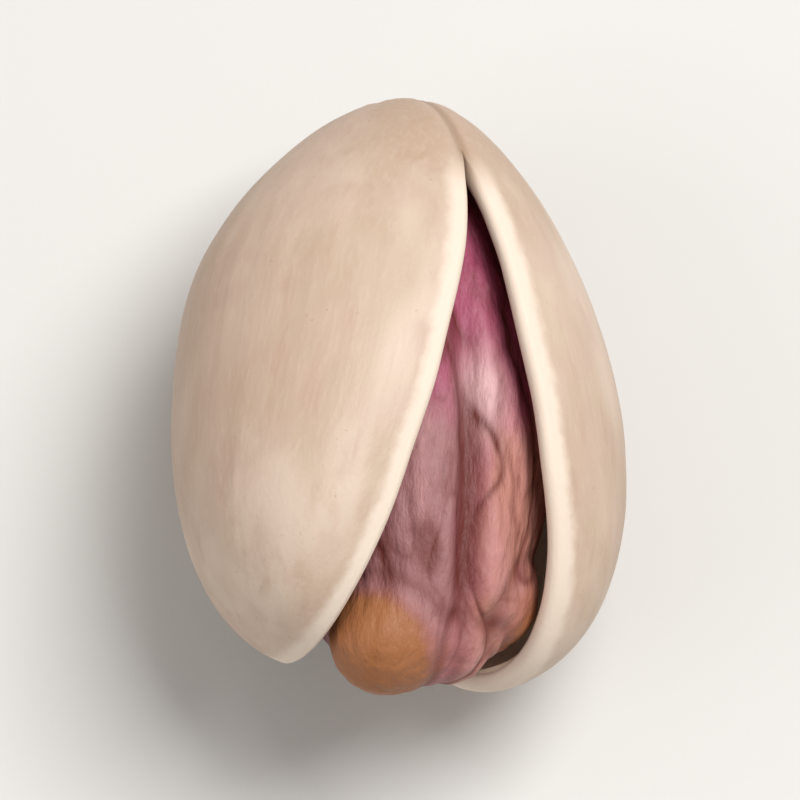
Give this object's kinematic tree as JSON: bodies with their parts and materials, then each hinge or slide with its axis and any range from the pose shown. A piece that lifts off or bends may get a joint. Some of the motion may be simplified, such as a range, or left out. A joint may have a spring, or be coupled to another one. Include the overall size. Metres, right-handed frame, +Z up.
{
  "type": "pistachio in shell",
  "caption": "Split pistachio in its shell, lying on its side with the purple-brown kernel showing in the opening.",
  "frame": {"origin": "bottom centre of the nut's bounding box, on the surface it lies on", "axes": "+X from the stem end to the open end, +Z up, +Y to the right, the side that the split is turned towards"},
  "size_m": [0.0204, 0.015, 0.0142],
  "materials": {
    "shell": "satin, pale tan nutshell with fine lengthwise streaks and cream rims",
    "kernel": "satin, thin wrinkled seed skin, rose purple to orange brown"
  },
  "bodies": {
    "root": {"shell": "shell", "kernel": "kernel"}
  },
  "joints": []
}
